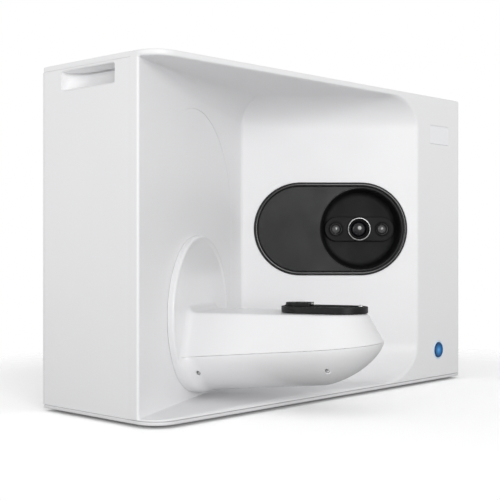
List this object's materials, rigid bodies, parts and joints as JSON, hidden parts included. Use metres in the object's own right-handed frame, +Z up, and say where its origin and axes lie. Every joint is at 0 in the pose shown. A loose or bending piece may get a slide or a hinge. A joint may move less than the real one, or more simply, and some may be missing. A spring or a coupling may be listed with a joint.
{
  "type": "desktop 3d scanner",
  "caption": "Desktop 3D scanner: open-front white housing with a slanted bay, a camera window, and a lifting, tilting arm that carries a turning jig plate.",
  "frame": {"origin": "bottom centre of the whole object, on the surface that the feet stand on", "axes": "+X to the right as seen from the open front (longest extent), -Y is the front, +Z is up"},
  "size_m": [0.505, 0.2615, 0.34],
  "materials": {
    "housing_white": "smooth white moulded plastic, low gloss",
    "housing_satin": "fine satin white plastic",
    "base_paint": "white powder coat on steel",
    "foot_rubber": "matt black rubber",
    "bezel_black": "black bezel with a bright bevel",
    "window_dark": "dark grey satin panel",
    "recess_black": "matt black plastic",
    "lens_ring": "dark anodised ring with a bright edge",
    "lens_glass": "coated optical glass",
    "module_black": "black coated metal",
    "bracket_alu": "milled aluminium",
    "zinc_steel": "zinc-plated bent steel",
    "ground_steel": "ground bright steel",
    "belt_rubber": "black toothed belt",
    "plate_black": "black fine-grained plate",
    "button_halo": "translucent light ring",
    "button_blue": "lit blue button",
    "circuit_green": "solder-masked circuit board",
    "badge_satin": "blank satin plate with a thin outline"
  },
  "bodies": {
    "housing": {"base_plate": "base_paint", "foot_front_left": "foot_rubber", "foot_front_right": "foot_rubber", "foot_rear_left": "foot_rubber", "foot_rear_right": "foot_rubber", "front_shell": "housing_white", "top_cover": "housing_white", "left_side_panel": "housing_white", "right_side_panel": "housing_white", "left_handle_cup": "housing_satin", "right_handle_cup": "housing_satin", "rear_cover": "housing_satin", "arch_panel": "housing_white", "window_bezel": "bezel_black", "window_panel": "window_dark", "lens_cup": "recess_black", "lens_bar": "recess_black", "projector_barrel": "lens_ring", "left_camera_barrel": "recess_black", "right_camera_barrel": "recess_black", "projector_lens": "lens_glass", "left_camera_lens": "lens_glass", "right_camera_lens": "lens_glass", "left_camera_module": "module_black", "right_camera_module": "module_black", "projector_engine": "module_black", "optics_bracket": "bracket_alu", "drive_frame": "zinc_steel", "left_guide_rod": "ground_steel", "right_guide_rod": "ground_steel", "lift_motor": "module_black", "button_ring": "button_halo", "button_switch": "circuit_green", "badge_plate": "badge_satin", "main_board": "circuit_green", "usb_socket": "ground_steel", "dc_inlet": "module_black", "fan_frame": "module_black"},
    "screw": {"lead_screw": "ground_steel"},
    "carriage": {"lift_carriage": "bracket_alu", "tilt_bearing": "ground_steel", "tilt_motor": "module_black", "tilt_belt": "belt_rubber"},
    "tilt_pinion": {"tilt_motor_pulley": "bracket_alu"},
    "arm": {"tilt_shaft": "ground_steel", "tilt_driven_pulley": "bracket_alu", "arm_hull": "housing_white", "arm_cover": "housing_white", "arm_beam": "bracket_alu", "arm_screw_inner": "ground_steel", "arm_screw_outer": "ground_steel", "turntable_motor": "module_black"},
    "turntable": {"turntable_hub": "bracket_alu", "turntable_plate": "plate_black", "fixed_pin": "ground_steel"},
    "jaw": {"clamp_jaw": "plate_black", "jaw_pin": "ground_steel"},
    "button": {"power_button": "button_blue"},
    "fan": {"fan_rotor": "recess_black"}
  },
  "joints": [
    {"name": "arm_lift", "type": "slide", "parent": "housing", "child": "carriage", "axis": [0, 0, 1], "range_m": [0, 0.07]},
    {"name": "screw_spin", "type": "hinge", "parent": "housing", "child": "screw", "pos_m": [-0.08713, 0.09526, 0.1], "axis": [0, 0, 1], "range_deg": [-1, 3155]},
    {"name": "arm_tilt", "type": "hinge", "parent": "carriage", "child": "arm", "pos_m": [-0.1189, 0.04967, 0.0942], "axis": [-0.4206, 0.9073, 0], "range_deg": [-45, 90]},
    {"name": "tilt_motor_spin", "type": "hinge", "parent": "carriage", "child": "tilt_pinion", "pos_m": [-0.1854, 0.05522, 0.0942], "axis": [-0.4206, 0.9073, 0], "range_deg": [-170, 337]},
    {"name": "turntable_spin", "type": "hinge", "parent": "arm", "child": "turntable", "pos_m": [-0.06212, -0.07281, 0.099], "axis": [0, 0, 1], "continuous": true},
    {"name": "jaw_slide", "type": "slide", "parent": "turntable", "child": "jaw", "axis": [0.4206, -0.9073, 0], "range_m": [0, 0.011]},
    {"name": "power_press", "type": "slide", "parent": "housing", "child": "button", "axis": [0, 1, 0], "range_m": [0, 0.0015], "stiffness_N_per_m": 400},
    {"name": "fan_spin", "type": "hinge", "parent": "housing", "child": "fan", "pos_m": [0.1655, 0.1203, 0.25], "axis": [0, 1, 0], "continuous": true}
  ],
  "couplings": [
    {"joint": "screw_spin", "follows": "arm_lift", "rad_per_m": 785.4},
    {"joint": "tilt_motor_spin", "follows": "arm_tilt", "ratio": 3.7206}
  ]
}
